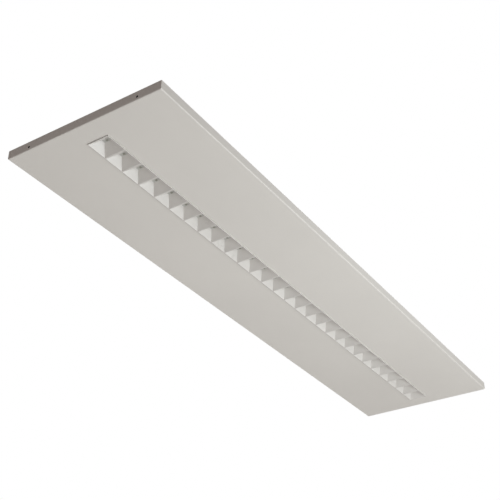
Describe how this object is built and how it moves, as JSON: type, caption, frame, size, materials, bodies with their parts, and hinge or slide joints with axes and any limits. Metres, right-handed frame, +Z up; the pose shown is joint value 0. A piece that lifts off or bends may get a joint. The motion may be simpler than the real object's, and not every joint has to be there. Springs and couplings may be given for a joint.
{
  "type": "surface-mounted led ceiling light",
  "caption": "Flat white sheet-steel ceiling light with a row of square anti-glare reflector cells, a drop-off cover and a raised gear box behind it.",
  "frame": {"origin": "centre of the face that lies against the ceiling", "axes": "+X along the light away from the cable inlet, +Y across it, +Z up into the ceiling"},
  "size_m": [1.195, 0.295, 0.0515],
  "materials": {
    "cover_paint": "fine matt powder coat",
    "frame_paint": "matt powder coat",
    "carrier_steel": "zinc-plated sheet",
    "reflector_white": "glossy white polycarbonate",
    "board_grey": "pale grey solder mask",
    "led_phosphor": "unlit phosphor under clear resin",
    "connector_white": "moulded nylon",
    "driver_white": "moulded polycarbonate",
    "pcb_green": "green solder mask",
    "transformer_yellow": "taped ferrite core",
    "capacitor_sleeve": "shrink sleeve",
    "screw_zinc": "zinc-plated",
    "screw_black": "black oxide",
    "rivet_aluminium": "bare",
    "rubber_black": "matt",
    "brass": "tinned in part",
    "terminal_grey": "moulded polyamide",
    "button_orange": "moulded",
    "button_blue": "moulded",
    "button_green": "moulded",
    "wire_brown": "PVC sleeve",
    "wire_blue": "PVC sleeve",
    "wire_green": "PVC sleeve",
    "wire_red": "PVC sleeve",
    "wire_black": "PVC sleeve"
  },
  "bodies": {
    "ceiling_unit": {"ceiling_plate": "frame_paint", "box_side_walls": "frame_paint", "box_end_walls": "frame_paint", "box_cleats": "frame_paint", "base_plate": "frame_paint", "rivets": "rivet_aluminium", "inlet_grommet": "rubber_black", "blanking_plug": "rubber_black", "terminal_bracket": "screw_zinc", "terminal_body": "terminal_grey", "terminal_contacts": "brass", "terminal_screws": "screw_zinc", "earth_stud": "brass", "earth_nut": "screw_zinc", "earth_lug": "brass", "earth_wire": "wire_green", "live_wire": "wire_brown", "neutral_wire": "wire_blue", "driver_case": "driver_white", "driver_lid": "driver_white", "driver_board": "pcb_green", "driver_transformer": "transformer_yellow", "driver_capacitors": "capacitor_sleeve", "driver_input_terminal": "connector_white", "driver_output_terminal": "connector_white", "driver_screws": "screw_zinc", "led_wire_plus": "wire_red", "led_wire_minus": "wire_black", "carrier_grommet": "rubber_black", "led_carrier": "carrier_steel", "carrier_lips": "carrier_steel", "carrier_screws": "screw_zinc", "led_board_1": "board_grey", "led_board_2": "board_grey", "led_board_3": "board_grey", "led_board_4": "board_grey", "leds_1": "led_phosphor", "leds_2": "led_phosphor", "leds_3": "led_phosphor", "leds_4": "led_phosphor", "board_links": "connector_white", "board_connector": "connector_white", "board_screws": "screw_zinc", "reflector_1": "reflector_white", "reflector_2": "reflector_white", "reflector_3": "reflector_white", "reflector_4": "reflector_white"},
    "cover": {"cover": "cover_paint", "press_nuts": "screw_zinc", "lock_screws": "screw_black"},
    "button_live": {"terminal_button_live": "button_orange"},
    "button_neutral": {"terminal_button_neutral": "button_blue"},
    "button_earth": {"terminal_button_earth": "button_green"}
  },
  "joints": [
    {"name": "cover_release", "type": "slide", "parent": "ceiling_unit", "child": "cover", "axis": [0, 0, -1], "range_m": [0, 0.12]},
    {"name": "button_live_press", "type": "slide", "parent": "ceiling_unit", "child": "button_live", "axis": [0, 0, 1], "range_m": [0, 0.0015], "stiffness_N_per_m": 3000, "springref_m": -0.0005},
    {"name": "button_neutral_press", "type": "slide", "parent": "ceiling_unit", "child": "button_neutral", "axis": [0, 0, 1], "range_m": [0, 0.0015], "stiffness_N_per_m": 3000, "springref_m": -0.0005},
    {"name": "button_earth_press", "type": "slide", "parent": "ceiling_unit", "child": "button_earth", "axis": [0, 0, 1], "range_m": [0, 0.0015], "stiffness_N_per_m": 3000, "springref_m": -0.0005}
  ]
}
